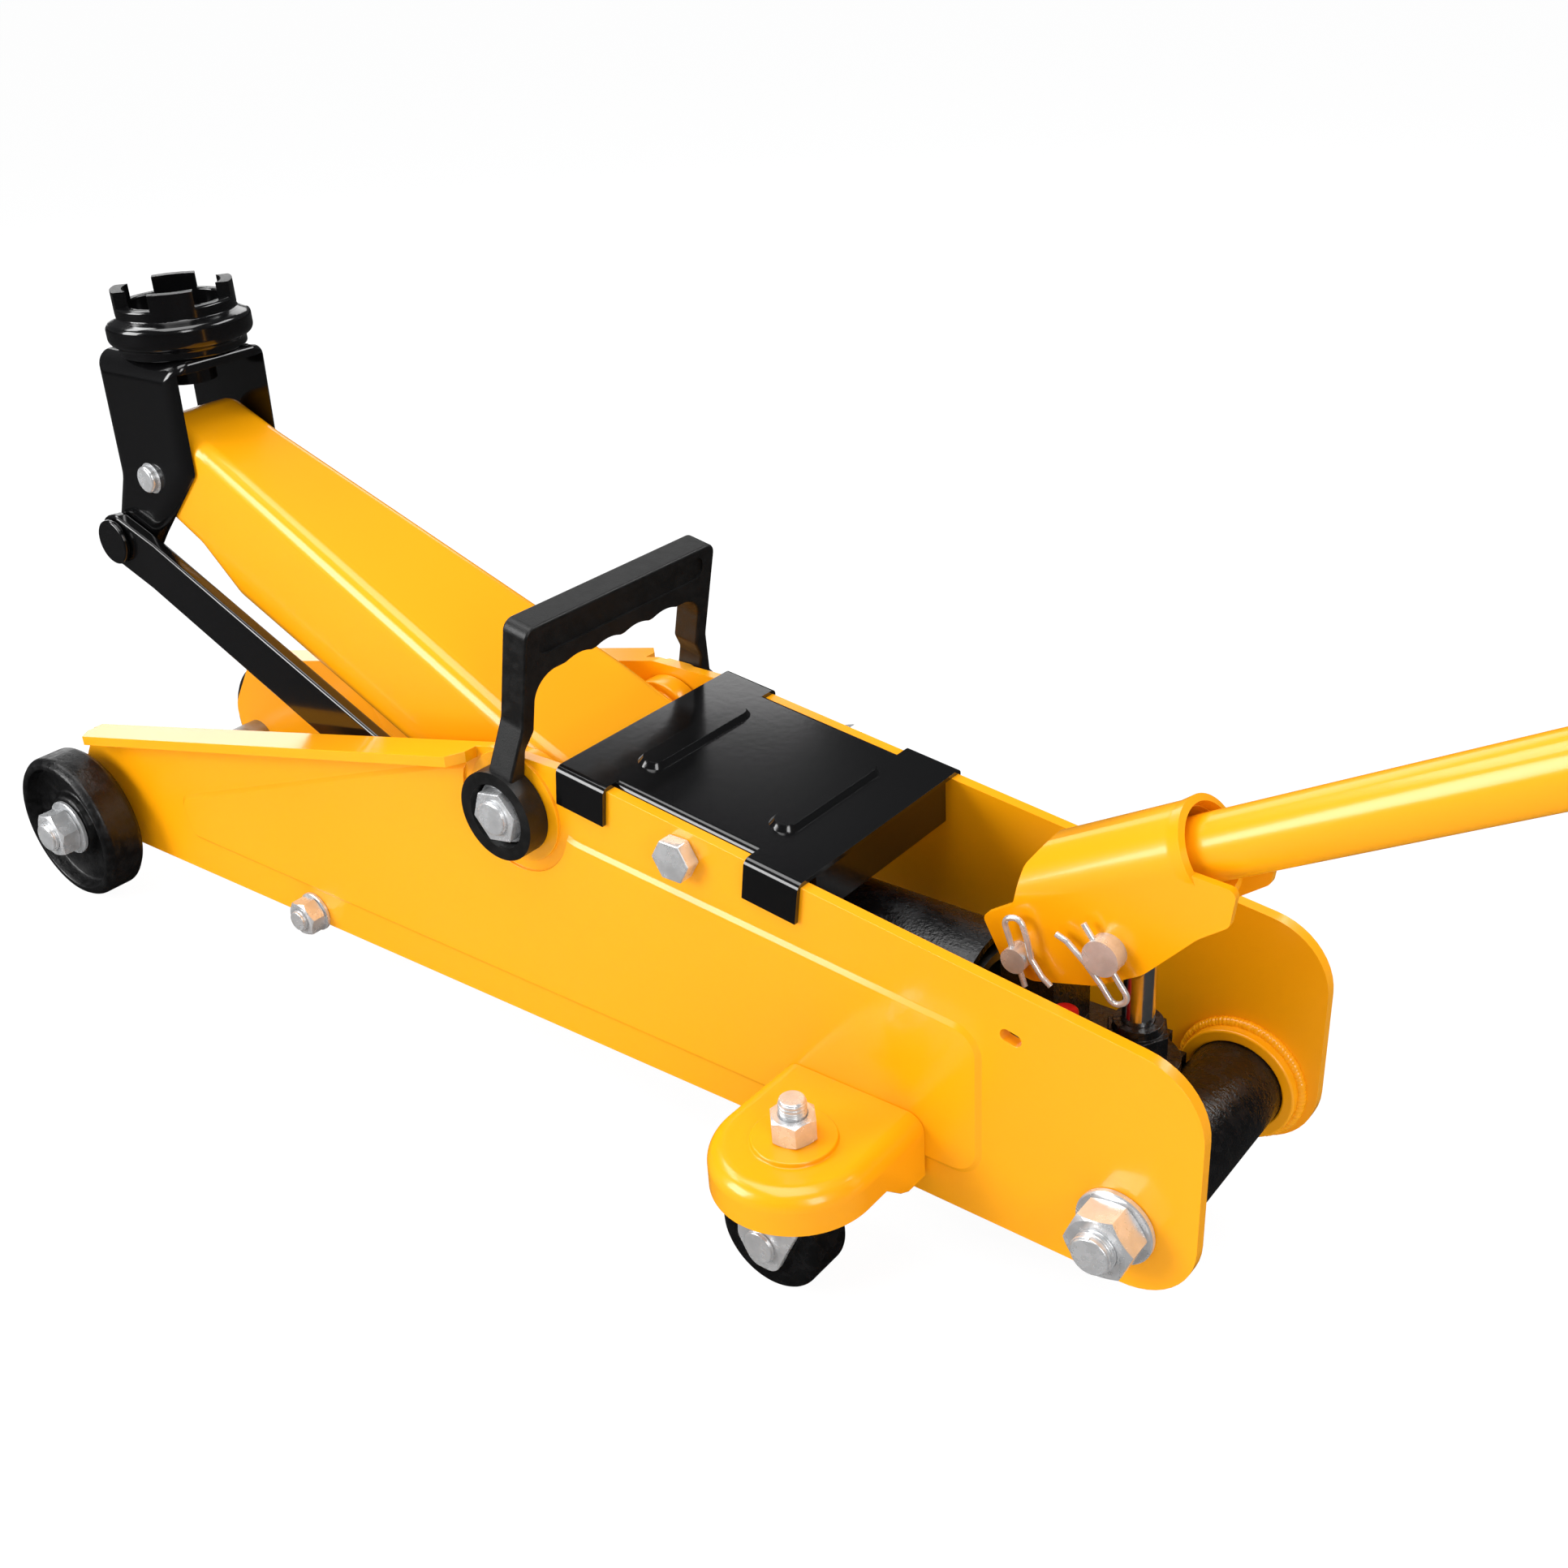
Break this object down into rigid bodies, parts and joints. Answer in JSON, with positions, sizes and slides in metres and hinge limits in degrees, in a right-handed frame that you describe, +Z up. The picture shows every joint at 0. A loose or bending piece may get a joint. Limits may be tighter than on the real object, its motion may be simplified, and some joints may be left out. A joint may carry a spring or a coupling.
{
  "type": "trolley jack",
  "caption": "Compact hydraulic trolley jack with a hinged lift arm, swivel saddle, pump handle socket, carry handle, front wheels and swivel casters",
  "frame": {"origin": "on the floor under the middle of the bounding box, handle included", "axes": "+X from the saddle towards the handle, +Z up from the floor, Y across the side plates"},
  "size_m": [0.9558, 0.198, 0.3907],
  "materials": {
    "yellow_paint": "gloss",
    "black_gloss": "gloss",
    "black_cast": "rough",
    "black_plastic": "matte",
    "grip_rubber": "matte",
    "wheel_black": "satin",
    "caster_nylon": "satin",
    "zinc": "satin",
    "grey_steel": "satin",
    "bright_steel": "polished",
    "red_plastic": "gloss"
  },
  "bodies": {
    "frame": {"arm_pivot_nuts": "zinc", "arm_pivot_shaft": "zinc", "axle_nuts": "zinc", "axle_spacer_tube": "grey_steel", "axle_washers": "zinc", "caster_bracket_left": "yellow_paint", "caster_bracket_right": "yellow_paint", "caster_nuts": "zinc", "caster_studs": "zinc", "cover_plate": "black_gloss", "cylinder_head": "black_cast", "front_axle": "zinc", "front_tie_bolt": "zinc", "front_tie_spacer": "grey_steel", "link_pivot_stubs": "black_gloss", "oil_filler_plug": "red_plastic", "pressure_cylinder": "grey_steel", "pump_block": "black_cast", "pump_gland": "black_cast", "rear_collars": "yellow_paint", "rear_tie_bolt": "zinc", "rear_tie_nut": "zinc", "reservoir_tube": "black_cast", "return_springs": "grey_steel", "side_plate_left": "yellow_paint", "side_plate_right": "yellow_paint", "socket_pivot_pin": "zinc", "spring_anchor_bolt": "zinc", "tie_nuts": "zinc"},
    "lift_arm": {"lift_arm": "yellow_paint", "arm_pivot_tube": "yellow_paint", "ram_pin": "grey_steel", "ram_roller": "grey_steel"},
    "saddle_bracket": {"saddle_bracket": "black_gloss", "saddle_pin": "zinc", "link_rivets": "black_gloss"},
    "saddle": {"saddle": "black_gloss", "saddle_ring": "zinc"},
    "link_bars": {"link_bar_left": "black_gloss", "link_bar_right": "black_gloss"},
    "ram": {"ram": "bright_steel"},
    "handle_socket": {"handle_socket": "yellow_paint", "plunger_pin": "zinc"},
    "handle": {"handle_lower_tube": "yellow_paint", "handle_upper_tube": "yellow_paint", "handle_button": "zinc", "handle_grip": "grip_rubber"},
    "pump_plunger": {"pump_plunger": "bright_steel"},
    "release_valve": {"release_valve": "zinc"},
    "carry_handle": {"carry_handle": "black_plastic"},
    "front_wheel_left": {"front_wheel_left": "wheel_black"},
    "front_wheel_right": {"front_wheel_right": "wheel_black"},
    "caster_left": {"caster_fork_left": "zinc", "caster_rivet_left": "zinc"},
    "caster_right": {"caster_fork_right": "zinc", "caster_rivet_right": "zinc"},
    "caster_wheel_left": {"caster_wheel_left": "caster_nylon"},
    "caster_wheel_right": {"caster_wheel_right": "caster_nylon"}
  },
  "joints": [
    {"name": "arm_lift", "type": "hinge", "parent": "frame", "child": "lift_arm", "pos_m": [-0.18099, 0, 0.1104], "axis": [0, 1, 0], "range_deg": [-30.2, 46.3], "deforming": ["return_springs"]},
    {"name": "bracket_level", "type": "hinge", "parent": "lift_arm", "child": "saddle_bracket", "pos_m": [-0.38849, 0, 0.1847], "axis": [0, 1, 0], "range_deg": [-46.5, 30.4]},
    {"name": "saddle_swivel", "type": "hinge", "parent": "saddle_bracket", "child": "saddle", "pos_m": [-0.38219, 0, 0.243], "axis": [0, 0, 1], "continuous": true},
    {"name": "link_swing", "type": "hinge", "parent": "frame", "child": "link_bars", "pos_m": [-0.20549, 0, 0.0824], "axis": [0, 1, 0], "range_deg": [-30.4, 46.5]},
    {"name": "ram_slide", "type": "slide", "parent": "frame", "child": "ram", "axis": [-1, 0, 0], "range_m": [-0.0217, 0.03316]},
    {"name": "pump_lever", "type": "hinge", "parent": "frame", "child": "handle_socket", "pos_m": [-0.00389, 0, 0.1001], "axis": [0, -1, 0], "range_deg": [-20, 30]},
    {"name": "plunger_slide", "type": "slide", "parent": "frame", "child": "pump_plunger", "axis": [0, 0, 1], "range_m": [-0.00924, 0.01376]},
    {"name": "handle_pull", "type": "slide", "parent": "handle_socket", "child": "handle", "axis": [0.8746, 0, 0.4848], "range_m": [0, 0.034]},
    {"name": "valve_turn", "type": "hinge", "parent": "frame", "child": "release_valve", "pos_m": [0.03011, -0.02, 0.0615], "axis": [1, 0, 0], "range_deg": [0, 180]},
    {"name": "carry_swing", "type": "hinge", "parent": "frame", "child": "carry_handle", "pos_m": [-0.18099, 0, 0.1104], "axis": [0, 1, 0], "range_deg": [-8, 10]},
    {"name": "front_wheel_spin_left", "type": "hinge", "parent": "frame", "child": "front_wheel_left", "pos_m": [-0.44589, 0, 0.032], "axis": [0, 1, 0], "continuous": true},
    {"name": "caster_swivel_left", "type": "hinge", "parent": "frame", "child": "caster_left", "pos_m": [-0.04489, -0.073, 0], "axis": [0, 0, 1], "continuous": true},
    {"name": "caster_wheel_spin_left", "type": "hinge", "parent": "caster_left", "child": "caster_wheel_left", "pos_m": [-0.05089, -0.073, 0.018], "axis": [0, 1, 0], "continuous": true},
    {"name": "front_wheel_spin_right", "type": "hinge", "parent": "frame", "child": "front_wheel_right", "pos_m": [-0.44589, 0, 0.032], "axis": [0, 1, 0], "continuous": true},
    {"name": "caster_swivel_right", "type": "hinge", "parent": "frame", "child": "caster_right", "pos_m": [-0.04489, 0.073, 0], "axis": [0, 0, 1], "continuous": true},
    {"name": "caster_wheel_spin_right", "type": "hinge", "parent": "caster_right", "child": "caster_wheel_right", "pos_m": [-0.05089, 0.073, 0.018], "axis": [0, 1, 0], "continuous": true}
  ],
  "couplings": [
    {"joint": "bracket_level", "follows": "arm_lift", "ratio": -1},
    {"joint": "link_swing", "follows": "arm_lift", "ratio": 1},
    {"joint": "ram_slide", "follows": "arm_lift", "m_per_rad": 0.040788},
    {"joint": "plunger_slide", "follows": "pump_lever", "m_per_rad": 0.025899}
  ]
}
